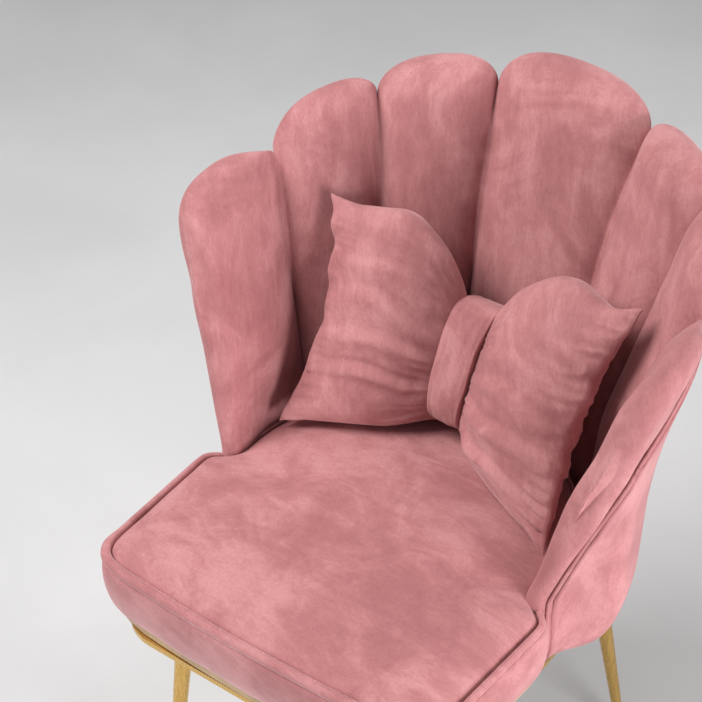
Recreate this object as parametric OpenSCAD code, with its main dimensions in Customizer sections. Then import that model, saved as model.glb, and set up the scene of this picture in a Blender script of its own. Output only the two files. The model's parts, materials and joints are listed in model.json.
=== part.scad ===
// Petal-back upholstered armchair: round-legged metal base, T-shaped seat, bow cushion.
// Millimetres, +Z up from the floor, seat front towards -Y, origin under the footprint centre.

/* [Seat] */
// Height of the seat cushion's top edge above the floor
seat_top_z = 460; // [430:5:500]
// Half width of the seat at its front corners
seat_half_front = 225; // [190:5:250]
// Half width of the seat at the ears in front of the arms
seat_half_ear = 234; // [200:5:260]
// Distance from the shell centre to the seat's front corners
seat_reach = 255; // [220:5:300]
// How far the middle of the front edge bows forward
front_bow = 9; // [0:1:20]
// Plan radius of the front corners
front_corner_r = 35; // [20:1:60]
// Thickness of the cushion from board to top edge
cushion_h = 85; // [60:5:110]
// Height the middle of the seat rises above its edge
seat_crown = 12; // [4:1:25]
// Outward swell of the boxing at mid height
boxing_bulge = 5; // [0:1:10]
// Radius of the piping cord round the seat
welt_r = 5.5; // [3:0.5:7]

/* [Shell] */
// Radius of the shell's reference cone at seat height
shell_r = 233; // [215:1:260]
// Outward flare of the reference cone, radius gained per unit of height
shell_flare = 0.28; // [0.15:0.01:0.35]
// Angle the shell axis leans back
shell_lean = 4.5; // [0:0.5:8]
// Height of the scalloped edge above the seat at the back
back_h = 360; // [280:5:420]
// Drop of the scalloped edge from the back to the arm fronts
arm_drop = 210; // [120:5:230]
// Angle from the back centre line to the arm fronts
arm_angle = 97; // [90:1:102]
// Radius of the outer cover at seat height
belly_r = 271; // [262:1:290]
// Crown of the padding between two seams
petal_bulge = 42; // [30:1:48]
// Half angle of the centre petal
centre_half_angle = 17.4; // [15:0.2:20]
// Thickness of the moulded ply shell
ply_t = 6; // [5:1:9]
// Thickness of the padded outer cover
cover_t = 4; // [3:0.5:6]

/* [Base] */
// Half width of the base frame
frame_half = 222; // [190:1:222]
// Width of the flat bar
bar_w = 25; // [20:1:30]
// Thickness of the flat bar
bar_t = 8; // [6:1:10]
// Radius of a leg at its top
leg_top_r = 12; // [10:0.5:15]
// Radius of a leg at its foot
leg_foot_r = 6; // [5.5:0.5:9]
// Outward splay of the legs, sideways and lengthways, per unit of height
leg_splay = 0.12; // [0.05:0.01:0.16]

/* [Bow cushion] */
// Length of the bow from end to end
bow_l = 390; // [320:5:395]
// Height of a lobe at its outer end
bow_h = 256; // [200:2:266]
// Fullness of a lobe
bow_t = 86; // [60:2:90]
// Angle the bow leans back
bow_lean = 30; // [24:1:32]

/* [Hidden] */
fit_gap = 0.3;
round_n = 64;

// base
glide_h = 8;
plate_t = 4;
plate_r = 28;
frame_top_z = seat_top_z - cushion_h - 16;
frame_z = frame_top_z - bar_t;
plate_z = frame_z - plate_t;
leg_front = [168, -182];
leg_rear = [167, 161];
frame_front_y = -seat_reach - 2;
frame_rear_y = 212;
frame_front_r = 65;
frame_rear_r = 130;
cross_w = 50;
leg_wall = 1.8;
screw_r = 3;
bore_r = screw_r + 0.3;
screw_head_r = 5.5;
screw_head_h = 4;
leg_screw_reach = 20;
tab_w = 32;
tab_angles = [-78, -24, 24, 78];

// seat layers
dust_t = 1;
board_t = 15;
board_z = frame_top_z + dust_t + 2 * fit_gap;
foam_z = board_z + board_t + fit_gap;
ear_back_y = -46;
ear_r = 14;
disc_y = -5;
boxing_t = 6;
boxing_top_z = seat_top_z - 2 * welt_r - 3;
panel_inset = boxing_t + 3.5;
panel_crown_steps = [[0, 0], [10, 0.4], [24, 0.72], [42, 0.92], [60, 1]];

// shell
shell_n = 10;
back_n = ceil(back_h / 45);
cap_drop = 45;
ledge_step = 4;
roll_h = 36;
seam_t = 6;
thin_t = 5;
seam_gap = 0.18;
low_bulge = 22;
sunk_flare = 0.2;
bulge_h = 130;
side_angle = 41.7;
arm_seam_angle = 65.2;
cover_angle = 84;
rail_t = 18;
rail_in_r = shell_r - 27;
rail_out_r = shell_r - 1;
rail_screw_r = (rail_in_r + rail_out_r) / 2;
disc_r = rail_in_r - 6;
rail_z = frame_top_z + fit_gap;
ply_z = rail_z + rail_t + fit_gap;
drop_power = 2.7;
belly_h = 40;
belly_rise = 7e-4;
tuck_h = -20;
tuck_len = 100;
tuck_in = 60;
piping_r = 2.6;
wall_t = cover_t + ply_t + 2 * fit_gap;
centre_lift = 44;
back_lift = 33;
side_lift = 28;
arm_lift = 48;
arm_skew = 0.6;
front_swing = 8;
front_draw = 2.5;
swing_h = 200;

// bow
knot_half = 17;
knot_h = 150;
knot_t = 84;
bow_x = -9;
bow_y = shell_r - 115;
bow_reach = min(bow_l / 2, shell_r - 38);
bow_yaw = 28;
bow_lean_yaw = 4;
bow_rise = 3.4;
neck_h = 190;
neck_gap = 12;
knot_low = 10;
bow_base_z = seat_top_z + seat_crown + 1;

// whole part
crest_h = back_h + centre_lift - 0.72 * roll_h;
crest_r = belly_r + belly_rise * pow(crest_h - belly_h, 2);
back_y = crest_r * cos(shell_lean) + crest_h * sin(shell_lean);
mid_y = (back_y - seat_reach - front_bow - boxing_bulge) / 2;

function arc(c, r, a0, a1, n) =
  [for (i = [0:n]) let (a = a0 + (a1 - a0) * i / n) [c[0] + r * cos(a), c[1] + r * sin(a)]];

function flip(list) = [for (i = [len(list) - 1:-1:0]) [-list[i][0], list[i][1]]];

// angle where the round rear of the seat leaves the back edge of the ear
function disc_start(d) = asin((ear_back_y + 4 - d - disc_y) / (disc_r - d));

// right half of the T-shaped seat outline, front middle to back middle, moved in by d
function seat_half(d) =
  let (w = seat_half_front - d)
  let (e = seat_half_ear - d)
  let (y0 = -seat_reach + d)
  let (r = front_corner_r - d * 0.25)
  concat(
    [for (i = [0:4]) let (x = (w - r) * (i + 0.5) / 5) [x, y0 - front_bow * (1 - pow(x / w, 2))]],
    arc([w - r, y0 + r], r, -82, -4, 5),
    arc([e - ear_r, ear_back_y - d - ear_r], ear_r, 0, 90, 3),
    arc([0, disc_y], disc_r - d, disc_start(d), 87, 11)
  );
function seat_ring(d) = let (h = seat_half(d)) concat(h, flip(h));
function lift(ring, z) = [for (p = ring) [p[0], p[1], z]];

// shell profile: reference cone inside, swelling bowl outside, h above the seat along the axis
function cone_r(h) = shell_r + shell_flare * (h > 0 ? h : h * sunk_flare);
function tuck(h) = 1 - sqrt(1 - pow(min(0.98, (tuck_h - h) / tuck_len), 2));
function bowl_r(h) =
  h > belly_h ? belly_r + belly_rise * pow(h - belly_h, 2)
  : h > tuck_h ? belly_r : belly_r - tuck_in * tuck(h);
function edge_h(a) = back_h - arm_drop * pow(abs(a) / arm_angle, drop_power);
function plane_h(a, r, z) = (z - seat_top_z + r * cos(a) * sin(shell_lean)) / cos(shell_lean);
function smooth(x) = let (t = max(0, min(1, x))) t * t * (3 - 2 * t);
function crown(s) = pow(max(0, 1 - pow(abs(s), 2.4)), 0.55);
function bulge(h) = low_bulge + (petal_bulge - low_bulge) * smooth(h / bulge_h);

// one closed outline of a petal at angle a: up the inner face, over the top, down the back
// c is how full the pad is there, peak its rise over the shell's edge, e the share of its thickness
function petal_ring(a, c, peak, e) =
  let (top = edge_h(a) + peak)
  let (ledge = edge_h(a) - cap_drop + ledge_step)
  let (low = plane_h(a, cone_r(tuck_h), ply_z + fit_gap))
  let (shoulder = top - roll_h)
  let (hs = concat(
    [for (i = [0:back_n]) low + (ledge - low) * i / back_n],
    [for (i = [0:1]) ledge + 1 + (shoulder - ledge - 1) * i],
    [for (i = [1:5]) shoulder + roll_h * sin(18 * i)]
  ))
  let (n = len(hs) - 1)
  let (rows = [for (k = [0:n])
    let (h = hs[k])
    let (back = bowl_r(h) - wall_t - 2 * fit_gap)
    let (inner = min(back - thin_t, cone_r(h) - seam_t - (bulge(h) - seam_t) * c))
    let (outer = k <= back_n && e == 1 ? back : max(back, bowl_r(h) - 9 * (1 - c)))
    let (mid = (inner + outer) / 2)
    let (q = (k < n - 4 ? 1 : max(0.08, cos(18 * (k - n + 5)))) * e)
    [mid + (inner - mid) * q, mid + (outer - mid) * q, h]
  ])
  let (turn = [for (r = rows) a + (1 - e) * (front_swing * smooth(r[2] / swing_h) - front_draw)])
  concat(
    [for (k = [0:n]) [rows[k][0] * sin(turn[k]), rows[k][0] * cos(turn[k]), rows[k][2]]],
    [for (k = [n:-1:0]) [rows[k][1] * sin(turn[k]), rows[k][1] * cos(turn[k]), rows[k][2]]]
  );

function petal_rings(a0, a1, tall) =
  [for (i = [0:shell_n])
    let (s = -cos(180 * i / shell_n))
    petal_ring(a0 + seam_gap + (a1 - a0 - 2 * seam_gap) * (s + 1) / 2, crown(s), tall * crown(s), 1)];

// the arm's top stays high towards its front, where the pad is full
function arm_peak(s) =
  arm_lift * (1 + arm_skew * s) * (s < 0 ? crown(s) : pow(max(0, 1 - pow(s, 3.2)), 0.5));

// arm petal: seam side like the others, front side wrapping round the end of the ply
function arm_rings() =
  let (a0 = arm_seam_angle + seam_gap)
  let (span = (arm_angle - a0) / 2)
  let (front = cover_angle + 1.3)
  concat(
    [for (i = [0:5])
      let (a = a0 + (front - 0.1 - a0) * (1 - cos(18 * i)))
      let (s = (a - a0) / span - 1)
      petal_ring(a, s > 0 ? 1 : crown(s), arm_peak(s), 1)],
    [for (i = [0:6])
      let (q = sin(15 * i))
      let (a = front + (arm_angle - front) * q)
      petal_ring(a, 1, arm_peak((a - a0) / span - 1), max(0.15, sqrt(1 - q * q)) * 0.999)]
  );

// closed solid through equal rings of points, ends closed by strips across the ring
module loft(rings) {
  m = len(rings[0]);
  n = len(rings);
  points = [for (ring = rings) each ring];
  walls = [for (j = [0:n - 2]) for (i = [0:m - 1])
    let (a = j * m + i)
    let (b = j * m + (i + 1) % m)
    each [[a, b, b + m], [a, b + m, a + m]]];
  caps = [for (i = [0:m / 2 - 2])
    let (p = i)
    let (q = m - 1 - i)
    let (t = (n - 1) * m)
    each [[p, q - 1, p + 1], [p, q, q - 1],
          [t + p, t + p + 1, t + q - 1], [t + p, t + q - 1, t + q]]];
  polyhedron(points, concat(walls, caps), convexity = 6);
}

module placed() {
  translate([0, -mid_y, 0]) children();
}

module leaned() {
  translate([0, -mid_y, seat_top_z]) rotate([-shell_lean, 0, 0]) children();
}

// region under the scalloped edge lowered by d, drawn in the side view of the leaned shell
module under_edge(d) {
  steps = 16;
  a_end = arm_angle + 5;
  far = 400;
  rotate([90, 0, 90]) linear_extrude(2 * far, center = true)
    polygon(concat(
      [[far, -far], [far, back_h - d]],
      [for (i = [0:steps]) let (a = a_end * i / steps) [cone_r(edge_h(a)) * cos(a), edge_h(a) - d]],
      [[-far, edge_h(a_end) - d], [-far, -far]]
    ));
}

// wall of the shell between two offsets in from the outer bowl, inside angle span, above z
module shell_wall(out_d, in_d, a0, a1, z, d) {
  steps = 24;
  low = -115;
  high = back_h + 20;
  intersection() {
    leaned() intersection() {
      rotate([0, 0, 90 - a1]) rotate_extrude(angle = a1 - a0, $fn = round_n)
        polygon(concat(
          [for (i = [0:steps]) let (h = low + (high - low) * i / steps) [bowl_r(h) - out_d, h]],
          [for (i = [steps:-1:0]) let (h = low + (high - low) * i / steps) [bowl_r(h) - in_d, h]]
        ));
      under_edge(d);
    }
    translate([-500, -500, z]) cube([1000, 1000, 600]);
  }
}

module screw(x, y, z, l) {
  translate([x, y, z - screw_head_h]) cylinder(h = screw_head_h, r = screw_head_r, $fn = round_n);
  translate([x, y, z - 1]) cylinder(h = l + 1, r = screw_r, $fn = round_n);
}

module bore(x, y, z, l) {
  translate([x, y, z]) cylinder(h = l, r = bore_r, $fn = round_n);
}

function leg_spots() = [[-leg_front[0], leg_front[1]], leg_front, [-leg_rear[0], leg_rear[1]], leg_rear];
function leg_screw_spots() = [for (p = leg_spots()) for (s = [-1, 1])
  [p[0] + s * leg_screw_reach * sign(p[1]) * sign(p[0]) * 0.7, p[1] - s * leg_screw_reach * 0.7]];
function seat_screw_spots() = [[-100, leg_front[1]], [100, leg_front[1]], [-70, leg_rear[1]], [70, leg_rear[1]]];
function rail_spots() = [for (a = tab_angles)
  [rail_screw_r * sin(a), rail_screw_r * cos(a) - (seat_top_z - rail_z) * sin(shell_lean)]];

module frame_outline(d) {
  hull_w = frame_half - d;
  fr = frame_front_r - d;
  rr = frame_rear_r - d;
  y0 = frame_front_y + d;
  y1 = frame_rear_y - d;
  polygon(concat(
    arc([hull_w - fr, y0 + fr], fr, -90, 0, 12),
    arc([hull_w - rr, y1 - rr], rr, 0, 90, 20),
    arc([-hull_w + rr, y1 - rr], rr, 90, 180, 20),
    arc([-hull_w + fr, y0 + fr], fr, 180, 270, 12)
  ));
}

module base_frame() {
  color("gold") placed() difference() {
    translate([0, 0, frame_z]) linear_extrude(bar_t) {
      difference() {
        frame_outline(0);
        frame_outline(bar_w);
      }
      intersection() {
        frame_outline(1);
        for (y = [leg_front[1], leg_rear[1]])
          translate([-frame_half, y - cross_w / 2]) square([2 * frame_half, cross_w]);
      }
      for (p = leg_spots())
        translate(p) circle(plate_r, $fn = round_n);
      for (a = tab_angles)
        translate([0, -(seat_top_z - rail_z) * sin(shell_lean)]) rotate(90 - a)
          translate([rail_in_r - bar_w, -tab_w / 2]) square([rail_out_r - rail_in_r + bar_w, tab_w]);
    }
    for (p = concat(leg_screw_spots(), seat_screw_spots(), rail_spots()))
      bore(p[0], p[1], frame_z - 1, bar_t + 2);
  }
}

// frame along a leg's axis, from the underside of its plate down to the floor, p is the plate centre
module splayed(p) {
  run = leg_splay * sqrt(2);
  translate([p[0], p[1], plate_z])
    rotate([0, 0, atan2(p[1] / abs(p[1]), p[0] / abs(p[0]))])
      rotate([0, 180 - atan(run), 0]) children();
}

module leg(p) {
  l = (plate_z - glide_h) * sqrt(1 + 2 * leg_splay * leg_splay);
  placed() {
    difference() {
      translate([p[0], p[1], plate_z]) cylinder(h = plate_t - fit_gap, r = plate_r, $fn = round_n);
      for (s = leg_screw_spots())
        bore(s[0], s[1], plate_z - 1, plate_t + 2);
    }
    intersection() {
      splayed(p) difference() {
        translate([0, 0, -5]) cylinder(h = l + 10, r1 = leg_top_r, r2 = leg_foot_r, $fn = round_n);
        translate([0, 0, -6])
          cylinder(h = l + 12, r1 = leg_top_r - leg_wall, r2 = leg_foot_r - leg_wall, $fn = round_n);
      }
      translate([-500, -500, glide_h + fit_gap]) cube([1000, 1000, plate_z - glide_h - fit_gap + 1]);
    }
  }
}

module foot_glide(p) {
  drop = plate_z - glide_h;
  plug_l = 20;
  plug_r = leg_foot_r - leg_wall - 0.6;
  l = drop * sqrt(1 + 2 * leg_splay * leg_splay);
  x = p[0] + sign(p[0]) * leg_splay * drop;
  y = p[1] + sign(p[1]) * leg_splay * drop;
  placed() {
    translate([x, y, 0]) cylinder(h = glide_h, r1 = leg_foot_r + 0.5, r2 = leg_foot_r + 1.5, $fn = round_n);
    intersection() {
      splayed(p) translate([0, 0, l - plug_l]) cylinder(h = plug_l + 6, r = plug_r, $fn = round_n);
      translate([x - 50, y - 50, glide_h / 2]) cube([100, 100, 100]);
    }
  }
}

module leg_front_left() { color("goldenrod") leg([-leg_front[0], leg_front[1]]); }
module leg_front_right() { color("goldenrod") leg(leg_front); }
module leg_rear_left() { color("goldenrod") leg([-leg_rear[0], leg_rear[1]]); }
module leg_rear_right() { color("goldenrod") leg(leg_rear); }
module foot_glide_front_left() { color("dimgray") foot_glide([-leg_front[0], leg_front[1]]); }
module foot_glide_front_right() { color("dimgray") foot_glide(leg_front); }
module foot_glide_rear_left() { color("dimgray") foot_glide([-leg_rear[0], leg_rear[1]]); }
module foot_glide_rear_right() { color("dimgray") foot_glide(leg_rear); }

module leg_screws() {
  color("silver") placed()
    for (p = leg_screw_spots())
      screw(p[0], p[1], plate_z - fit_gap, plate_t + bar_t);
}

module seat_screws() {
  color("silver") placed()
    for (p = seat_screw_spots())
      screw(p[0], p[1], frame_z - fit_gap, bar_t + dust_t + board_t - 3);
}

module shell_screws() {
  color("silver") placed()
    for (p = rail_spots())
      screw(p[0], p[1], frame_z - fit_gap, bar_t + rail_t - 4);
}

module dust_cover() {
  color("black") placed() difference() {
    translate([0, 0, frame_top_z + fit_gap]) linear_extrude(dust_t) polygon(seat_ring(boxing_t + 8));
    for (p = seat_screw_spots())
      bore(p[0], p[1], frame_top_z, 5);
  }
}

module seat_board() {
  color("burlywood") placed() difference() {
    translate([0, 0, board_z]) linear_extrude(board_t) polygon(seat_ring(boxing_t + fit_gap));
    for (p = seat_screw_spots())
      bore(p[0], p[1], board_z - 1, board_t - 1);
  }
}

module seat_foam() {
  color("lightyellow") placed()
    translate([0, 0, foam_z]) linear_extrude(boxing_top_z - foam_z) polygon(seat_ring(boxing_t + fit_gap));
}

module seat_boxing() {
  low = frame_top_z + fit_gap;
  tall = boxing_top_z - low;
  color("rosybrown") placed() difference() {
    loft([for (i = [0:6])
      let (t = i / 6)
      lift(seat_ring(t < 0.2 ? 3 - 15 * t : -boxing_bulge * sin(180 * (t - 0.2) / 0.8)), low + tall * t)]);
    translate([0, 0, low - 1]) linear_extrude(tall + 2) polygon(seat_ring(boxing_t));
  }
}

module seat_top_panel() {
  low = boxing_top_z + fit_gap;
  edge = seat_top_z - 4;
  color("rosybrown") placed()
    loft(concat(
      [lift(seat_ring(panel_inset), low)],
      [for (s = panel_crown_steps)
        lift(seat_ring(panel_inset + s[0]), edge + (seat_crown + 4) * s[1])]
    ));
}

module seat_welt() {
  path = seat_ring(2.2);
  n = len(path);
  sides = 8;
  z = boxing_top_z + welt_r + fit_gap;
  rings = [for (i = [0:n - 1])
    let (v = path[(i + 1) % n] - path[(i + n - 1) % n])
    let (u = v / norm(v))
    [for (k = [0:sides - 1])
      let (a = 360 * (k + 0.5) / sides)
      [path[i][0] + u[1] * welt_r * cos(a), path[i][1] - u[0] * welt_r * cos(a), z + welt_r * sin(a)]]];
  faces = [for (i = [0:n - 1]) for (k = [0:sides - 1])
    let (a = i * sides)
    let (b = ((i + 1) % n) * sides)
    let (k2 = (k + 1) % sides)
    each [[a + k, a + k2, b + k2], [a + k, b + k2, b + k]]];
  color("indianred") placed() polyhedron([for (r = rings) each r], faces, convexity = 6);
}

module shell_rail() {
  color("burlywood") difference() {
    translate([0, -mid_y - (seat_top_z - rail_z) * sin(shell_lean), rail_z])
      rotate([0, 0, 90 - cover_angle + 1]) rotate_extrude(angle = 2 * cover_angle - 2, $fn = round_n)
        translate([rail_in_r, 0]) square([rail_out_r - rail_in_r, rail_t]);
    placed()
      for (p = rail_spots())
        bore(p[0], p[1], rail_z - 1, rail_t - 1);
  }
}

module shell_ply() {
  color("tan")
    shell_wall(cover_t + fit_gap, cover_t + fit_gap + ply_t, -cover_angle, cover_angle, ply_z, cap_drop + 8);
}

module back_cover() {
  color("palevioletred") shell_wall(0, cover_t, -cover_angle, cover_angle, rail_z, cap_drop);
}

module piping(side) {
  a0 = side > 0 ? cover_angle + 0.15 : -cover_angle - 1.1;
  color("indianred") shell_wall(-piping_r, cover_t, a0, a0 + 0.45, rail_z, cap_drop);
  color("indianred") shell_wall(-piping_r, cover_t, a0 + 0.5, a0 + 0.95, rail_z, cap_drop);
}

module piping_left() { piping(-1); }
module piping_right() { piping(1); }

module petal(a0, a1, tall) {
  color("rosybrown") leaned() loft(petal_rings(a0, a1, tall));
}

module arm_petal() {
  color("rosybrown") leaned() loft(arm_rings());
}

module petal_centre() { petal(-centre_half_angle, centre_half_angle, centre_lift); }
module petal_back_right() { petal(centre_half_angle, side_angle, back_lift); }
module petal_side_right() { petal(side_angle, arm_seam_angle, side_lift); }
module petal_arm_right() { arm_petal(); }
module petal_back_left() { mirror([1, 0, 0]) petal_back_right(); }
module petal_side_left() { mirror([1, 0, 0]) petal_side_right(); }
module petal_arm_left() { mirror([1, 0, 0]) petal_arm_right(); }

// rounded section of the bow at length x, standing on its lower edge: height h, half thickness b
function bow_ring(x, low, h, b, yaw, lean_yaw) =
  let (along = [cos(yaw), -sin(yaw), 0])
  let (up = [sin(lean_yaw) * sin(bow_lean), cos(lean_yaw) * sin(bow_lean), cos(bow_lean)])
  let (side = cross(up, along) / norm(cross(up, along)))
  [for (k = [0:19])
    let (t = 18 * k + 9)
    let (y = b * sign(cos(t)) * pow(abs(cos(t)), 0.8))
    let (z = low + h / 2 * (1 + sign(sin(t)) * pow(abs(sin(t)), 0.75)))
    x * along + y * side + z * up];

module bow_placed() {
  translate([bow_x, bow_y - mid_y, bow_base_z + bow_rise]) children();
}

module bow_lobe() {
  start = knot_half + neck_gap;
  l = bow_reach - start;
  color("rosybrown")
    loft([for (i = [0:10])
      let (t = i / 10)
      bow_ring(start + l * t, 0, neck_h + (bow_h - neck_h) * sin(90 * min(1, t * 1.5)),
        max(6, (bow_t / 2) * pow(sin(25 + 150 * t), 0.8)), bow_yaw, bow_lean_yaw)]);
}

module bow_lobe_right() { bow_placed() bow_lobe(); }
module bow_lobe_left() { bow_placed() mirror([1, 0, 0]) bow_lobe(); }

module bow_knot() {
  color("indianred") bow_placed()
    loft([for (i = [0:6])
      let (t = i / 3 - 1)
      let (h = knot_h * (0.86 + 0.14 * cos(90 * t)))
      bow_ring(knot_half * t, knot_low + (knot_h - h) / 2, h, knot_t / 2 * (0.8 + 0.2 * cos(90 * t)), 0, 0)]);
}

base_frame();
leg_front_left();
leg_front_right();
leg_rear_left();
leg_rear_right();
foot_glide_front_left();
foot_glide_front_right();
foot_glide_rear_left();
foot_glide_rear_right();
leg_screws();
seat_screws();
shell_screws();
dust_cover();
seat_board();
seat_foam();
seat_boxing();
seat_top_panel();
seat_welt();
shell_rail();
shell_ply();
back_cover();
piping_left();
piping_right();
petal_arm_left();
petal_side_left();
petal_back_left();
petal_centre();
petal_back_right();
petal_side_right();
petal_arm_right();
bow_lobe_left();
bow_lobe_right();
bow_knot();
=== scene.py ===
import json
import math

import bmesh
import bpy
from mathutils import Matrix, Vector, noise


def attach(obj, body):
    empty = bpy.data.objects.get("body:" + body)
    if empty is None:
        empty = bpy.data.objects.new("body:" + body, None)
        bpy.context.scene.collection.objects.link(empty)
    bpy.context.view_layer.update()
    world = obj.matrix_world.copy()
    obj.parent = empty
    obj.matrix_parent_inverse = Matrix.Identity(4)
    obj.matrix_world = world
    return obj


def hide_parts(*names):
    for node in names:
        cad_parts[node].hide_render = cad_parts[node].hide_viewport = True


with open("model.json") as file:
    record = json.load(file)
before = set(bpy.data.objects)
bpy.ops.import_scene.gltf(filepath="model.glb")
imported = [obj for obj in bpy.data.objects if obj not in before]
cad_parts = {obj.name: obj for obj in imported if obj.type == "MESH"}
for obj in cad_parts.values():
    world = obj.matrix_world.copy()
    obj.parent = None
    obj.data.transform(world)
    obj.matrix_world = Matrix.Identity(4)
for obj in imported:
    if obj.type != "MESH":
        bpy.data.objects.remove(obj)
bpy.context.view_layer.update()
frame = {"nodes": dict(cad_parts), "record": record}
nodes = frame["nodes"]
scene = bpy.context.scene
print("frame loaded")

# camera and studio

studio = {
    "eye": (0.79124, -1.06812, 1.66401),
    "azimuth": 35.02,
    "elevation": 43.42,
    "roll": -0.08,
    "lens": 80.3,
    "shift": (-0.1496, 0.2228),
    "floorSize": 12.0,
    "world": (0.82, 0.83, 0.85),
    "worldPower": 0.34,
}


def placeCamera():
    az = math.radians(studio["azimuth"])
    el = math.radians(studio["elevation"])
    back = Vector((math.sin(az) * math.cos(el), -math.cos(az) * math.cos(el), math.sin(el)))
    camera = bpy.data.objects.new("camera", bpy.data.cameras.new("camera"))
    camera.data.lens = studio["lens"]
    camera.data.shift_x, camera.data.shift_y = studio["shift"]
    camera.data.clip_end = 50
    camera.location = studio["eye"]
    turn = back.to_track_quat("Z", "Y").to_matrix().to_4x4()
    camera.rotation_euler = turn.to_euler()
    camera.rotation_euler.rotate_axis("Z", math.radians(studio["roll"]))
    scene.collection.objects.link(camera)
    scene.camera = camera


def areaLight(name, place, target, size, power, colour=(1, 1, 1)):
    light = bpy.data.lights.new(name, "AREA")
    light.shape = "DISK"
    light.size = size
    light.energy = power
    light.color = colour
    lamp = bpy.data.objects.new(name, light)
    lamp.location = place
    lamp.rotation_euler = (Vector(place) - Vector(target)).to_track_quat("Z", "Y").to_euler()
    scene.collection.objects.link(lamp)


placeCamera()
areaLight("mainLight", (-1.35, -1.1, 2.75), (0, 0, 0.5), 1.7, 96, (1.0, 0.985, 0.98))
areaLight("sideLight", (2.8, -0.7, 0.75), (0, 0, 0.5), 1.3, 95, (1.0, 0.975, 1.0))
areaLight("backLight", (1.4, 1.9, 2.4), (0, 0, 0.6), 1.4, 28)
scene.view_settings.view_transform = "Standard"
world = bpy.data.worlds.new("studio")
scene.world = world
world.use_nodes = True
world.node_tree.nodes["Background"].inputs[0].default_value = (*studio["world"], 1)
world.node_tree.nodes["Background"].inputs[1].default_value = studio["worldPower"]

# shader helper


class Wire:  # one shader socket, so that sums on it read as sums
    def __init__(self, tree, socket):
        self.tree = tree
        self.socket = socket

    def calc(self, operation, other):
        return addNode(self.tree, "ShaderNodeMath", {"operation": operation}, {0: self, 1: other})

    def __add__(self, other):
        return self.calc("ADD", other)

    def __radd__(self, other):
        return addNode(self.tree, "ShaderNodeMath", {"operation": "ADD"}, {0: other, 1: self})

    def __mul__(self, other):
        return self.calc("MULTIPLY", other)


def addNode(tree, kind, settings=None, values=None, output=0):
    node = tree.nodes.new(kind)
    for name, value in (settings or {}).items():
        if name == "stops":
            elements = node.color_ramp.elements
            while len(elements) < len(value):
                elements.new(0.5)
            for element, (place, shade) in zip(elements, value):
                element.position = place
                element.color = (*shade, 1)
        else:
            setattr(node, name, value)
    for name, value in (values or {}).items():
        slot = node.inputs[name]
        if isinstance(value, Wire):
            tree.links.new(value.socket, slot)
        else:
            slot.default_value = value
    return Wire(tree, node.outputs[output])


def newMaterial(name, fixed):
    material = bpy.data.materials.new(name)
    material.use_nodes = True
    tree = material.node_tree
    surface = tree.nodes["Principled BSDF"]
    for socket, value in fixed.items():
        surface.inputs[socket].default_value = value
    return material, tree, surface


def feed(tree, surface, socket, wire):
    tree.links.new(wire.socket, surface.inputs[socket])


def mixColour(tree, factor, first, second, blend="MIX"):
    return addNode(tree, "ShaderNodeMix", {"data_type": "RGBA", "blend_type": blend},
                   {0: factor, 6: first, 7: second}, output=2)


def softNoise(tree, coords, scale, detail=3.0, rough=0.5, distortion=0.0):
    values = {"Vector": coords, "Scale": scale, "Detail": detail, "Roughness": rough, "Distortion": distortion}
    return addNode(tree, "ShaderNodeTexNoise", {}, values)


def ramp(tree, wire, low, high):
    return addNode(tree, "ShaderNodeMapRange", {"interpolation_type": "SMOOTHSTEP"},
                   {"Value": wire, "From Min": low, "From Max": high})


# materials

velvetLook = {
    "deep": (0.335, 0.128, 0.130),
    "middle": (0.440, 0.184, 0.186),
    "pale": (0.560, 0.268, 0.268),
    "patchScale": 10.0,
    "streakScale": (52.0, 52.0, 12.0),
    "brushScale": (420.0, 420.0, 90.0),
    "pileScale": 1500.0,
    "pileShadow": (0.30, 0.10, 0.105, 1),
    "sheen": 0.45,
    "sheenTint": (1.0, 0.72, 0.74, 1.0),
}


def velvet(name, tilt, darker=1.0):
    fixed = {"Roughness": 0.9, "Specular IOR Level": 0.12, "Sheen Weight": velvetLook["sheen"],
             "Sheen Roughness": 0.42, "Sheen Tint": velvetLook["sheenTint"]}
    material, tree, surface = newMaterial(name, fixed)
    place = addNode(tree, "ShaderNodeTexCoord", output=3)
    turned = addNode(tree, "ShaderNodeMapping", {}, {"Vector": place, "Rotation": tilt})
    brushed, brushedFine = [addNode(tree, "ShaderNodeMapping", {}, {"Vector": turned, "Scale": velvetLook[key]})
                            for key in ("streakScale", "brushScale")]
    patches = softNoise(tree, turned, velvetLook["patchScale"], 5.0, 0.62, 1.1)
    streaks = softNoise(tree, brushed, 1.0, 4.0, 0.65, 0.6)
    hairs = softNoise(tree, brushedFine, 1.0, 2.0, 0.6, 0.3)
    pile = softNoise(tree, place, velvetLook["pileScale"], 1.0, 0.5)
    grain = softNoise(tree, place, 330.0, 3.0, 0.65)
    nap = ramp(tree, patches * 0.66 + streaks * 0.34, 0.36, 0.64)
    tones = [(0.0, velvetLook["deep"]), (0.5, velvetLook["middle"]), (1.0, velvetLook["pale"])]
    tones = [(stop, tuple(c * darker for c in shade)) for stop, shade in tones]
    fine = ramp(tree, hairs * 0.5 + grain * 0.5, 0.3, 0.7)
    base = addNode(tree, "ShaderNodeValToRGB", {"stops": tones}, {"Fac": nap * 0.72 + fine * 0.28})
    speck = ramp(tree, pile, 0.25, 0.75)
    shade = mixColour(tree, speck * 0.18, base, velvetLook["pileShadow"])
    feed(tree, surface, "Base Color", shade)
    feed(tree, surface, "Roughness", 0.80 + nap * 0.12)
    relief = pile * 0.3 + grain * 0.4 + hairs * 0.3
    bump = addNode(tree, "ShaderNodeBump", {}, {"Height": relief, "Strength": 0.32, "Distance": 0.0009})
    feed(tree, surface, "Normal", bump)
    return material


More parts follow.
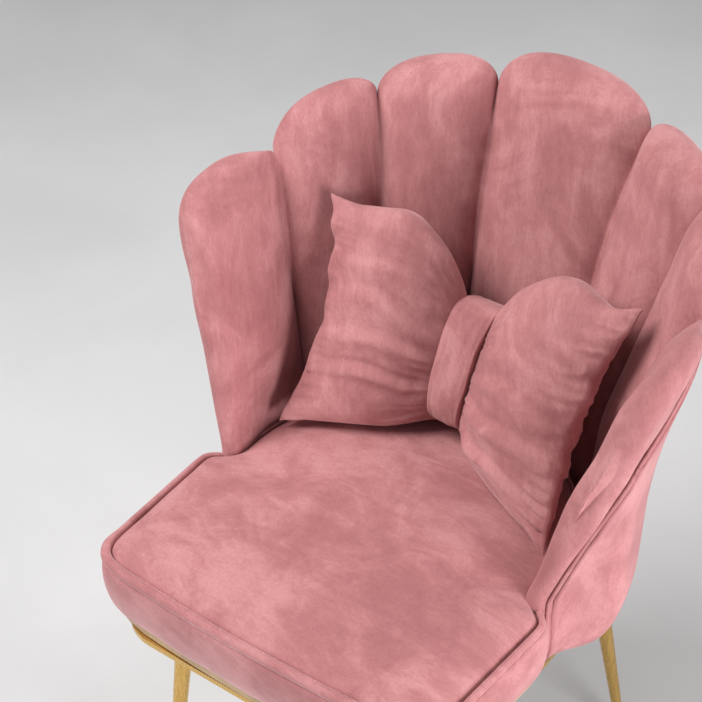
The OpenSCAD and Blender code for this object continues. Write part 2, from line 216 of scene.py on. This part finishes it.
goldLook = {
    "dark": (0.60, 0.35, 0.085, 1),
    "light": (0.80, 0.52, 0.165, 1),
    "cloud": (0.90, 0.66, 0.29, 1),
    "grainScale": (900.0, 900.0, 14.0),
}


def goldMetal():
    fixed = {"Metallic": 1.0, "Roughness": 0.3, "Specular IOR Level": 0.5}
    material, tree, surface = newMaterial("brushedGold", fixed)
    place = addNode(tree, "ShaderNodeTexCoord", output=3)
    grain = addNode(tree, "ShaderNodeMapping", {}, {"Vector": place, "Scale": goldLook["grainScale"]})
    brush = softNoise(tree, grain, 1.0, 2.0, 0.6)
    cloud = softNoise(tree, place, 18.0, 3.0, 0.5)
    shade = mixColour(tree, ramp(tree, brush, 0.3, 0.7), goldLook["dark"], goldLook["light"])
    feed(tree, surface, "Base Color", mixColour(tree, cloud * 0.3, shade, goldLook["cloud"]))
    feed(tree, surface, "Roughness", 0.18 + brush * 0.14 + cloud * 0.06)
    bump = addNode(tree, "ShaderNodeBump", {}, {"Height": brush, "Strength": 0.12, "Distance": 0.0002})
    feed(tree, surface, "Normal", bump)
    return material


def plainFinish(name, dark, light, scale, rough, metallic=0.0, relief=0.1, stretch=(1, 1, 1)):
    material, tree, surface = newMaterial(name, {"Roughness": rough, "Metallic": metallic})
    place = addNode(tree, "ShaderNodeTexCoord", output=3)
    drawn = addNode(tree, "ShaderNodeMapping", {}, {"Vector": place, "Scale": stretch})
    grain = softNoise(tree, drawn, scale, 4.0, 0.6, 0.4)
    feed(tree, surface, "Base Color", mixColour(tree, ramp(tree, grain, 0.3, 0.7), (*dark, 1), (*light, 1)))
    feed(tree, surface, "Roughness", rough - 0.08 + grain * 0.16)
    bump = addNode(tree, "ShaderNodeBump", {}, {"Height": grain, "Strength": relief, "Distance": 0.0006})
    feed(tree, surface, "Normal", bump)
    return material


petalVelvet = velvet("petalVelvet", (0.3, 0.2, 0.1))
seatVelvet = velvet("seatVelvet", (0.1, 1.2, 0.8))
bowVelvet = velvet("bowVelvet", (0.9, 0.4, 0.2))
trimVelvet = velvet("trimVelvet", (0.2, 0.5, 1.1), 0.93)
gold = goldMetal()
screwSteel = plainFinish("screwSteel", (0.42, 0.42, 0.43), (0.62, 0.62, 0.63), 300, 0.35, 1.0)
plyWood = plainFinish("plywood", (0.42, 0.27, 0.14), (0.62, 0.45, 0.27), 12, 0.62, 0, 0.25, (1, 9, 1))
dustCloth = plainFinish("dustCloth", (0.012, 0.012, 0.013), (0.03, 0.03, 0.032), 700, 0.92, 0, 0.4)
foamCore = plainFinish("foamCore", (0.70, 0.62, 0.38), (0.82, 0.75, 0.52), 500, 0.95, 0, 0.5)
glidePlastic = plainFinish("glidePlastic", (0.015, 0.015, 0.016), (0.03, 0.03, 0.03), 400, 0.5)
floorPaint = plainFinish("floorPaint", (0.56, 0.56, 0.56), (0.60, 0.60, 0.60), 2, 0.8, 0, 0.02)
print("materials made")

for slotName, look in {"gold_metal": gold, "screw_steel": screwSteel, "plywood": plyWood, "foam": foamCore,
                       "dust_cloth": dustCloth, "glide_plastic": glidePlastic, "velvet_trim": trimVelvet,
                       "velvet": petalVelvet}.items():
    for entry in frame["record"]["subparts"]:
        if entry["material_slot"] == slotName:
            nodes[entry["node"]].data.materials.clear()
            nodes[entry["node"]].data.materials.append(look)

# mesh helpers


def finish(name, bm, look, body, smooth=True, sub=0, replaces=()):
    mesh = bpy.data.meshes.new(name)
    bmesh.ops.recalc_face_normals(bm, faces=bm.faces[:])
    bm.to_mesh(mesh)
    bm.free()
    for face in mesh.polygons:
        face.use_smooth = smooth
    mesh.materials.append(look)
    piece = bpy.data.objects.new(name, mesh)
    scene.collection.objects.link(piece)
    if sub:
        layer = piece.modifiers.new("smooth", "SUBSURF")
        layer.levels = sub
        layer.render_levels = sub
    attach(piece, body)
    if replaces:
        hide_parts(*replaces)
    return piece


def block(cuts):
    # a cube from -1 to 1, cut into a grid with its own number of cuts each way
    bm = bmesh.new()
    bmesh.ops.create_cube(bm, size=2)
    for axis in range(3):
        along = [e for e in bm.edges if abs((e.verts[0].co - e.verts[1].co)[axis]) > 1.5]
        bmesh.ops.subdivide_edges(bm, edges=along, cuts=cuts[axis], use_grid_fill=True)
    return bm


def ringStack(count, rings, place, pinched=False):
    # a circle drawn out ring by ring; place(ring, step) gives each point, and a pinched end closes as a seam
    bm = bmesh.new()
    made = bmesh.ops.create_circle(bm, cap_ends=False, radius=1, segments=count)
    ring = made["verts"]
    first = ring[:]
    edges = bm.edges[:]
    for i, v in enumerate(ring):
        v.co = place(0, i)
    for step in range(1, rings):
        grown = bmesh.ops.extrude_edge_only(bm, edges=edges)["geom"]
        fresh = [g for g in grown if isinstance(g, bmesh.types.BMVert)]
        edges = [g for g in grown if isinstance(g, bmesh.types.BMEdge)
                 and g.verts[0] in fresh and g.verts[1] in fresh]
        linked = {}
        for v in fresh:
            for e in v.link_edges:
                other = e.other_vert(v)
                if other in ring:
                    linked[ring.index(other)] = v
        ring = [linked[i] for i in range(count)]
        for i, v in enumerate(ring):
            v.co = place(step, i)
    bmesh.ops.contextual_create(bm, geom=first)
    if pinched:
        bmesh.ops.remove_doubles(bm, verts=ring, dist=1e-5)
    else:
        bmesh.ops.contextual_create(bm, geom=ring)
    return bm


def clamp(x):
    return max(0.0, min(1.0, x))


def smoothStep(x):
    t = clamp(x)
    return t * t * (3 - 2 * t)


def ripple(point, scale, seed):
    return noise.noise(Vector(point) * scale + Vector((seed, seed * 1.7, -seed)))


# shell

shell = {
    "seatZ": 0.460,
    "midY": 0.0553,
    "lean": math.radians(4.5),
    "coneR": 0.233,
    "flare": 0.28,
    "sunkFlare": 0.2,
    "backH": 0.360,
    "armDrop": 0.210,
    "armAngle": 97.0,
    "dropPower": 2.7,
    "bellyR": 0.271,
    "bellyH": 0.040,
    "bellyRise": 0.7,
    "tuckH": -0.020,
    "tuckLen": 0.100,
    "tuckIn": 0.060,
    "wall": 0.0112,
    "thin": 0.005,
    "seamT": 0.006,
    "lowBulge": 0.022,
    "bulge": 0.042,
    "bulgeH": 0.130,
    "roll": 0.036,
    "capDrop": 0.045,
    "armRise": 0.034,
    "coverAngle": 98.0,
    "coverSwing": 8.8,
    "coverSwingH": 0.18,
    "footPull": 0.044,
    "footPullH": 0.17,
    "frontGap": 1.1,
    "wrapSpan": 3.2,
    "wrapMore": 0.6,
    "petalFootH": -0.05,
    "coverFootH": -0.09,
    "petalZ": 0.3787,
    "armZ": 0.3840,
    "bottomZ": 0.3700,
}
seams = [17.4, 41.7, 65.2]


def coneR(h):
    return shell["coneR"] + shell["flare"] * (h if h > 0 else h * shell["sunkFlare"])


def bowlR(h):
    if h > shell["bellyH"]:
        return shell["bellyR"] + shell["bellyRise"] * (h - shell["bellyH"]) ** 2
    if h > shell["tuckH"]:
        return shell["bellyR"]
    t = min(0.98, (shell["tuckH"] - h) / shell["tuckLen"])
    return shell["bellyR"] - shell["tuckIn"] * (1 - math.sqrt(1 - t * t))


def edgeH(angle):
    return shell["backH"] - shell["armDrop"] * (abs(angle) / shell["armAngle"]) ** shell["dropPower"]


def planeH(angle, r, z):
    lean = shell["lean"]
    return (z - shell["seatZ"] + r * math.cos(math.radians(angle)) * math.sin(lean)) / math.cos(lean)


def shellPoint(angle, r, h):
    a = math.radians(angle)
    lean = shell["lean"]
    y = r * math.cos(a)
    return Vector((r * math.sin(a), y * math.cos(lean) + h * math.sin(lean) - shell["midY"],
                   shell["seatZ"] - y * math.sin(lean) + h * math.cos(lean)))


def crown(s, power=2.4, roundness=0.55):
    return max(0.0, 1 - abs(s) ** power) ** roundness


def coverSide(h):
    # where the cover meets the arm's front roll, further forward near the foot
    return shell["coverAngle"] - shell["coverSwing"] * clamp(h / shell["coverSwingH"])


def coverTop(angle):
    return edgeH(angle) - shell["capDrop"] + shell["armRise"] * smoothStep((abs(angle) - 50) / 40)


def footPull(angle, h):
    # the front end of each arm draws in behind the seat toward its foot
    depth = clamp((shell["footPullH"] - h) / shell["footPullH"]) ** 1.15
    easedFoot = 0.3 * smoothStep((-0.02 - h) / 0.07)
    return shell["footPull"] * smoothStep((abs(angle) - 80) / 15) * (depth - easedFoot)


def petalPoint(angle, y, w, full, peak, e, mirror, seed):
    # y from inner to outer face, w from the foot to the top, full and peak as the pad swells and rises there
    top = edgeH(angle) + peak
    low = planeH(angle, coneR(shell["petalFootH"]), shell["petalZ"] if e == 1.0 else shell["armZ"])
    t = 1 - (1 - (w + 1) / 2) ** 1.45
    shoulder = top - shell["roll"]
    body = 0.8
    q = 1.0
    if t < body:
        h = low + (shoulder - low) * t / body
    else:
        turn = (t - body) / (1 - body) * math.pi / 2
        h = shoulder + shell["roll"] * math.sin(turn)
        q = max(0.05, math.cos(turn))
    rise = shell["lowBulge"] + (shell["bulge"] - shell["lowBulge"]) * smoothStep(h / shell["bulgeH"])
    back = bowlR(h) - shell["wall"]
    inner = min(back - shell["thin"], coneR(h) - shell["seamT"] - (rise - shell["seamT"]) * full)
    under = smoothStep((coverTop(angle) + 0.009 - h) / 0.008)
    outer = max(back, bowlR(h) - 0.009 * (1 - full))
    if e == 1.0:
        outer += (back - outer) * under
    outer -= footPull(angle, h)
    inner = min(outer - 0.004, inner - 0.2 * footPull(angle, h))
    mid = (inner + outer) / 2
    r = mid + (outer - mid) * y * q * e
    p = shellPoint(angle * mirror, r, h)
    lump = ripple(p, 14, seed) * 0.0022 + ripple(p, 38, seed) * 0.0007
    side = Vector((p.x, p.y + shell["midY"], 0)).normalized()
    return p + side * lump * full * e


def petalPlace(a0, a1, lift, seed, mirror=1, skew=0.0):
    def place(u, y, w):
        peak = lift * (1 + skew * u) * crown(u, 2.9, 0.5)
        return petalPoint(a0 + (a1 - a0) * (u + 1) / 2, y, w, crown(u), peak, 1.0, mirror, seed)

    return place


def armPlace(lift, seed, mirror):
    a0 = seams[2]
    wrap = 0.45

    def place(u, y, w):
        # the front part of the width wraps round the end of the arm, whose lean depends on the height reached
        t = min(1.0, (1 - (1 - (w + 1) / 2) ** 1.45) / 0.8)
        q = math.sin(max(0.0, u - wrap) / (1 - wrap) * math.pi / 2)
        e = 1.0 if u < wrap else min(0.9999, max(0.06, max(0.0, 1 - q ** 2.3) ** 0.47))
        h = 0.1
        for _ in range(6):
            front = coverSide(h) + shell["frontGap"]
            tip = front + shell["wrapSpan"] + shell["wrapMore"] * smoothStep((h - 0.02) / 0.16)
            angle = a0 + (front - a0) * (u + 1) / (1 + wrap) if u < wrap else front + (tip - front) * q
            s = min(1.0, (angle - a0) / (tip - a0) * 2 - 1)
            peak = lift * (1.3 + 0.95 * s) * (crown(s) if s < 0 else max(0.0, 1 - s ** 7) ** 0.4)
            low = planeH(angle, coneR(shell["petalFootH"]), shell["armZ"])
            h = low + (edgeH(angle) + peak - shell["roll"] - low) * t
        full = crown(s) if s < 0 else 1.0
        return petalPoint(angle, y, w, full, peak, e, mirror, seed)

    return place


petals = {
    "petal_centre": {"place": petalPlace(-17.4, 17.4, 0.044, 1, 1, -0.10), "cuts": (46, 12, 60)},
    "petal_back_right": {"place": petalPlace(17.4, 41.7, 0.029, 2), "cuts": (40, 12, 60)},
    "petal_side_right": {"place": petalPlace(41.7, 65.2, 0.030, 3), "cuts": (40, 12, 60)},
    "petal_arm_right": {"place": armPlace(0.048, 4, 1), "cuts": (56, 12, 60)},
    "petal_back_left": {"place": petalPlace(17.4, 41.7, 0.033, 5, -1), "cuts": (40, 12, 60)},
    "petal_side_left": {"place": petalPlace(41.7, 65.2, 0.033, 6, -1, 0.12), "cuts": (40, 12, 60)},
    "petal_arm_left": {"place": armPlace(0.048, 7, -1), "cuts": (56, 12, 60)},
}

for name, facts in petals.items():
    bm = block(facts["cuts"])
    for v in bm.verts:
        u = math.sin(v.co.x * math.pi / 2)
        v.co = facts["place"](u, v.co.y, v.co.z)
    finish(name + "_pad", bm, petalVelvet, "chair", replaces=(name,), sub=1)
print("petals made")

# outer cover and piping


def outerCover():
    bm = bmesh.new()
    bmesh.ops.create_grid(bm, x_segments=120, y_segments=60, size=1)
    for v in bm.verts:
        low = planeH(90 * v.co.x, bowlR(shell["coverFootH"]), shell["bottomZ"])
        side = coverSide(low + (coverTop(90) - low) * (v.co.y + 1) / 2)
        angle = side * v.co.x
        low = planeH(angle, bowlR(shell["coverFootH"]), shell["bottomZ"])
        h = low + (coverTop(angle) - low) * (v.co.y + 1) / 2
        v.co = shellPoint(angle, bowlR(h) - footPull(angle, h), h)
    piece = finish("outer_cover", bm, petalVelvet, "chair", replaces=("back_cover",))
    wall = piece.modifiers.new("wall", "SOLIDIFY")
    wall.thickness = 0.005
    wall.offset = -1
    return piece


outerCover()


def tube(name, points, radius, look, body, replaces=(), closed=False, swell=None):
    curve = bpy.data.curves.new(name, "CURVE")
    curve.dimensions = "3D"
    curve.bevel_depth = radius
    curve.bevel_resolution = 4
    curve.use_fill_caps = True
    spline = curve.splines.new("POLY")
    spline.points.add(len(points) - 1)
    for k, (slotPoint, p) in enumerate(zip(spline.points, points)):
        slotPoint.co = (*p, 1)
        slotPoint.radius = swell(p) if swell else 1.0
    spline.use_cyclic_u = closed
    helper = bpy.data.objects.new(name + "_line", curve)
    scene.collection.objects.link(helper)
    bpy.context.view_layer.update()
    mesh = bpy.data.meshes.new_from_object(helper.evaluated_get(bpy.context.evaluated_depsgraph_get()))
    bpy.data.objects.remove(helper)
    mesh.name = name
    mesh.materials.clear()
    mesh.materials.append(look)
    for face in mesh.polygons:
        face.use_smooth = True
    piece = bpy.data.objects.new(name, mesh)
    scene.collection.objects.link(piece)
    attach(piece, body)
    if replaces:
        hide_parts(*replaces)
    return piece


def coverEdge(inset, steps=40):
    # up one arm seam, along the top of the cover, and down the other arm seam
    low = planeH(90, bowlR(shell["coverFootH"]), shell["bottomZ"] + 0.003)
    side = coverSide(coverTop(90)) + inset
    top = coverTop(side) + inset * 0.0045
    rises = [low + (top - 0.012 - low) * i / (steps - 1) for i in range(steps)]
    sides = [(coverSide(h) + inset, h) for h in rises]
    points = [shellPoint(-a, bowlR(h) + 0.0006 - footPull(a, h), h) for a, h in sides]
    for i in range(1, 120):
        angle = -side + 2 * side * i / 120
        h = coverTop(angle) + inset * 0.0045
        points.append(shellPoint(angle, bowlR(h) + 0.0006, h))
    points += [shellPoint(a, bowlR(h) + 0.0006 - footPull(a, h), h) for a, h in reversed(sides)]
    return points


tube("piping_outer", coverEdge(0.0), 0.0022, trimVelvet, "chair", ("piping_left",))
tube("piping_inner", coverEdge(0.95), 0.0022, trimVelvet, "chair", ("piping_right",))
print("cover and piping made")

# seat

seat = {
    "halfFront": 0.2285,
    "halfEar": 0.2370,
    "reach": 0.255,
    "bow": 0.009,
    "cornerR": 0.035,
    "earBack": -0.046,
    "earR": 0.016,
    "discR": 0.2085,
    "discY": -0.005,
    "topZ": 0.460,
    "crown": 0.014,
    "bottomZ": 0.3594,
    "weltR": 0.0060,
    "points": 400,
}


def arc(cx, cy, r, a0, a1, n):
    return [(cx + r * math.cos(math.radians(a0 + (a1 - a0) * i / n)),
             cy + r * math.sin(math.radians(a0 + (a1 - a0) * i / n))) for i in range(n + 1)]


def evenLoop(spots, count):
    lengths = [0.0]
    for a, b in zip(spots, spots[1:] + spots[:1]):
        lengths.append(lengths[-1] + (b - a).length)
    even = []
    k = 0
    for i in range(count):
        want = lengths[-1] * i / count
        while lengths[k + 1] < want:
            k += 1
        a, b = spots[k], spots[(k + 1) % len(spots)]
        even.append(a.lerp(b, (want - lengths[k]) / max(1e-9, lengths[k + 1] - lengths[k])))
    return even


def eased(loop, rounds):
    for _ in range(rounds):
        loop = [loop[i - 1] * 0.25 + loop[i] * 0.5 + loop[(i + 1) % len(loop)] * 0.25
                for i in range(len(loop))]
    return loop


def seatOutline():
    w, e = seat["halfFront"], seat["halfEar"]
    y0, r = -seat["reach"], seat["cornerR"]
    half = [(x, y0 - seat["bow"] * (1 - (x / w) ** 2)) for x in [(w - r) * i / 20 for i in range(20)]]
    half += arc(w - r, y0 + r, r, -84, -3, 12)
    half += arc(e - seat["earR"], seat["earBack"] - seat["earR"], seat["earR"], 0, 80, 8)
    half += arc(0, seat["discY"], seat["discR"], -7.5, 90, 40)
    loop = half + [(-x, y) for x, y in reversed(half[1:-1])]
    return eased(evenLoop([Vector((x, y - shell["midY"])) for x, y in loop], seat["points"]), 9)


outline = seatOutline()
outlineNormal = []
for i in range(len(outline)):
    run = outline[(i + 2) % len(outline)] - outline[i - 2]
    outlineNormal.append(Vector((run.y, -run.x)).normalized())
outlineNormal = [n.normalized() for n in eased(outlineNormal, 12)]
seatCentre = Vector((0, -0.105 - shell["midY"]))


def seatRing(inset, z, draw=0.0):
    return [Vector((*(p - n * inset).lerp(seatCentre, draw), z)) for p, n in zip(outline, outlineNormal)]


def seatTop():
    edge = seat["topZ"] - 0.0065
    tuck = [(0.020, -0.010), (0.012, -0.009), (0.0086, -0.006), (0.0084, -0.0025), (0.0100, 0.0010),
            (0.0132, 0.0038)]
    rings = [seatRing(inset, edge + rise) for inset, rise in tuck]
    for k in range(1, 22):
        draw = 0.965 * (k / 21) ** 1.35
        z = edge + 0.0042 + (seat["crown"] + 0.002) * (1 - (1 - draw) ** 4.5)
        rings.append(seatRing(0.0135, z, draw))
    bm = ringStack(len(outline), len(rings), lambda step, i: rings[step][i])
    for v in bm.verts:
        v.co.z += ripple(v.co, 9, 11) * 0.0026 + ripple(v.co, 26, 12) * 0.0007
    return finish("seat_top", bm, seatVelvet, "chair", replaces=("seat_top_panel", "seat_foam"))


def seatBand():
    low, high = seat["bottomZ"], seat["topZ"] - 0.0105
    shape = [(0.045, 0.0010), (0.030, 0.0010), (0.022, 0.0014), (0.0150, 0.0034), (0.0095, 0.0072),
             (0.0050, 0.0125), (0.0015, 0.019), (-0.0018, 0.028), (-0.0042, 0.039), (-0.0056, 0.051),
             (-0.0058, 0.062), (-0.0050, 0.073), (-0.0034, 0.082)]
    rings = [seatRing(inset, low + rise) for inset, rise in shape]
    lip = [(-0.0022, 0.0035), (0.0004, 0.0015), (0.006, 0.0010), (0.030, 0.0010)]
    rings += [seatRing(inset, high - drop) for inset, drop in lip]
    bm = ringStack(len(outline), len(rings), lambda step, i: rings[step][i])
    for v in bm.verts:
        out = Vector((v.co.x, v.co.y + 0.1, 0)).normalized()
        fine = ripple((v.co.x, v.co.y, v.co.z * 0.2), 60, 15) * 0.0004
        v.co += out * (ripple(v.co, 16, 14) * 0.0016 + fine)
    return finish("seat_band", bm, seatVelvet, "chair", replaces=("seat_boxing",))


seatTop()
seatBand()


def weltSize(p):
    # full along the front, slimmer at the sides, least where the seat meets the shell
    back = smoothStep((p.y + shell["midY"] + 0.065) / 0.03)
    side = smoothStep((p.y + shell["midY"] + 0.235) / 0.03)
    return 1.0 - 0.30 * side - 0.35 * back


weltPath = []
for p in seatRing(0.0024, 0):
    size = weltSize(p)
    z = seat["topZ"] - 0.0075 - 0.0035 * (1 - size) + ripple(p, 9, 11) * 0.0012
    weltPath.append(Vector((p.x, p.y, z)))
tube("seat_piping", weltPath, seat["weltR"], seatVelvet, "chair", ("seat_welt",), True,
     weltSize)
print("seat made")

# bow cushion

bow = {
    "at": (-0.009, 0.118, 0.4764),
    "height": 0.256,
    "neck": 0.190,
    "thick": 0.086,
    "lean": math.radians(30),
    "yaw": math.radians(28),
    "leanYaw": math.radians(4),
    "knotHalf": 0.0240,
    "knotH": 0.150,
    "knotT": 0.090,
    "knotLow": 0.008,
}


def bowFrame(yaw, leanYaw):
    along = Vector((math.cos(yaw), -math.sin(yaw), 0))
    up = Vector((math.sin(leanYaw) * math.sin(bow["lean"]), math.cos(leanYaw) * math.sin(bow["lean"]),
                 math.cos(bow["lean"])))
    side = up.cross(along).normalized()
    return along, up, side


def bowPoint(frameAxes, x, side, z, mirror):
    along, up, out = frameAxes
    p = along * x + out * side + up * z
    return Vector((bow["at"][0] + mirror * p.x, bow["at"][1] - shell["midY"] + p.y, bow["at"][2] + p.z))


def signedPow(value, power):
    return math.copysign(abs(value) ** power, value)


def crease(value, sharp):
    # a soft ridge where the noise crosses nought
    return max(0.0, 1 - abs(value) * sharp) ** 1.6


def bowLobe(name, mirror, seed, nodeName, reach, tip, ear):
    axes = bowFrame(bow["yaw"], bow["leanYaw"])
    start = bow["knotHalf"] - 0.006
    length = reach - start
    around, steps = 256, 150
    folds = [(-0.62, 0.10, 0.9), (-0.30, 0.12, 1.0), (0.02, 0.13, 0.8), (0.34, 0.12, 0.45), (0.66, 0.1, 0.3)]

    def place(step, i):
        t = step / (steps - 1)
        phi = 2 * math.pi * (i + 0.5) / around
        cy, sz = math.cos(phi), math.sin(phi)
        face = 1 if cy > 0 else -1
        neck = bow["neck"] * 0.72
        high = neck + (bow["height"] - neck) * math.sin(math.pi / 2 * min(1, t * 1.75)) ** 0.85
        high += 0.012 * smoothStep((t - 0.78) / 0.22)
        s = signedPow(sz, 0.82)
        pull = 0.024 * t ** 5 * (1 - s * s)
        half = max(0.0045, bow["thick"] / 2 * 1.06 * math.sin(math.radians(15 + 163 * t ** 1.1)) ** 0.78)
        low = 0.012 * (1 - smoothStep(t * 3)) - 0.004 * smoothStep((t - 0.8) / 0.2)
        # folds that run from knot to end, each leaning its own way
        drift = s + 0.16 * math.sin(2.2 * t + seed) + 0.05 * ripple((t * 2.5, s * 1.5, face), 1.0, seed)
        fold = 0.0
        for k, (at, width, depth) in enumerate(folds):
            wander = 0.07 * ripple((t * 2.2, k * 3.1, face * 2.0), 1.0, seed + 2)
            gap = (drift - at - wander) / width
            swell = 0.5 + 0.5 * math.sin(math.pi * min(1, t * 1.1))
            swell += 0.6 * ripple((t * 1.8, k * 5.3, face), 1.0, seed)
            fold += depth * swell * (math.exp(-gap * gap * 3.2) - 0.75 * math.exp(-(gap - 0.8) ** 2 * 4))
        tight = (1 - smoothStep(t / 0.42)) ** 1.2 * smoothStep((t - 0.05) / 0.16)
        gather = crease(ripple((s * 7.5, t * 1.1, face * 3.0), 1.0, seed + 4), 3.2)
        gather += 0.6 * crease(ripple((s * 13, t * 2.0, face * 3.0), 1.0, seed + 6), 3.0)
        shirr = crease(ripple((s * 9.5, t * 1.6, face * 2.0), 1.0, seed + 8), 3.0)
        endTight = smoothStep((t - 0.70) / 0.30)
        relief = 0.0052 * fold * smoothStep((t - 0.04) * 5) * (1 - 0.5 * endTight)
        relief += 0.0060 * (gather - 0.5) * tight
        relief += 0.0052 * (shirr - 0.35) * endTight * smoothStep((1 - t) / 0.03 + 0.3)
        relief += 0.0012 * ripple((s * 4, t * 4, face), 1.4, seed + 10)
        relief *= smoothStep((1 - t) / 0.05)
        y = (half * min(1, (1 - t) / 0.012) + relief) * signedPow(cy, 0.78)
        y += 0.003 * ripple((s * 6, t * 0.6, 1), 1.0, seed + 12) * endTight
        z = low + high / 2 * (1 + s) + relief * 0.8 * sz + ear * max(0.0, s) ** 4 * t ** 7
        edge = 0.0055 * ripple((s * 6.5, 2.0, 1.0), 1.0, seed + 14) * smoothStep((t - 0.8) / 0.2)
        x = start + length * t - pull + edge + tip * max(0.0, s) ** 3 * t ** 4
        return bowPoint(axes, x, y, z, mirror)

    bm = ringStack(around, steps, place, True)
    return finish(name, bm, bowVelvet, "bow_cushion", replaces=(nodeName,))


def bowKnot():
    axes = bowFrame(0, 0)
    around, steps = 160, 40

    def place(step, i):
        t = step / (steps - 1) * 2 - 1
        phi = 2 * math.pi * (i + 0.5) / around
        cy, sz = math.cos(phi), math.sin(phi)
        q = max(0.0, 1 - abs(t) ** 4) ** 0.5
        high = bow["knotH"] * (0.93 + 0.07 * q)
        half = bow["knotT"] / 2 * (0.91 + 0.09 * q)
        wrinkle = 0.0010 * ripple((sz * 1.4, cy * 1.4, t * 2.6), 2.0, 31)
        y = (half + wrinkle) * signedPow(cy, 0.75)
        z = bow["knotLow"] + (bow["knotH"] - high) / 2 + high / 2 * (1 + signedPow(sz, 0.72)) + wrinkle * sz
        wide = 1 + 0.12 * sz
        return bowPoint(axes, bow["knotHalf"] * wide * math.sin(t * math.pi / 2), y, z, 1)

    bm = ringStack(around, steps, place)
    return finish("bow_band", bm, bowVelvet, "bow_cushion", replaces=("bow_knot",))


bowLobe("bow_left", -1, 41, "bow_lobe_left", 0.205, 0.002, 0.004)
bowLobe("bow_right", 1, 57, "bow_lobe_right", 0.224, 0.014, 0.020)
bowKnot()
print("bow cushion made")

# floor

floorMesh = bmesh.new()
bmesh.ops.create_grid(floorMesh, x_segments=1, y_segments=1, size=studio["floorSize"] / 2)
floorData = bpy.data.meshes.new("floor")
floorMesh.to_mesh(floorData)
floorMesh.free()
floorData.materials.append(floorPaint)
floor = bpy.data.objects.new("floor", floorData)
scene.collection.objects.link(floor)
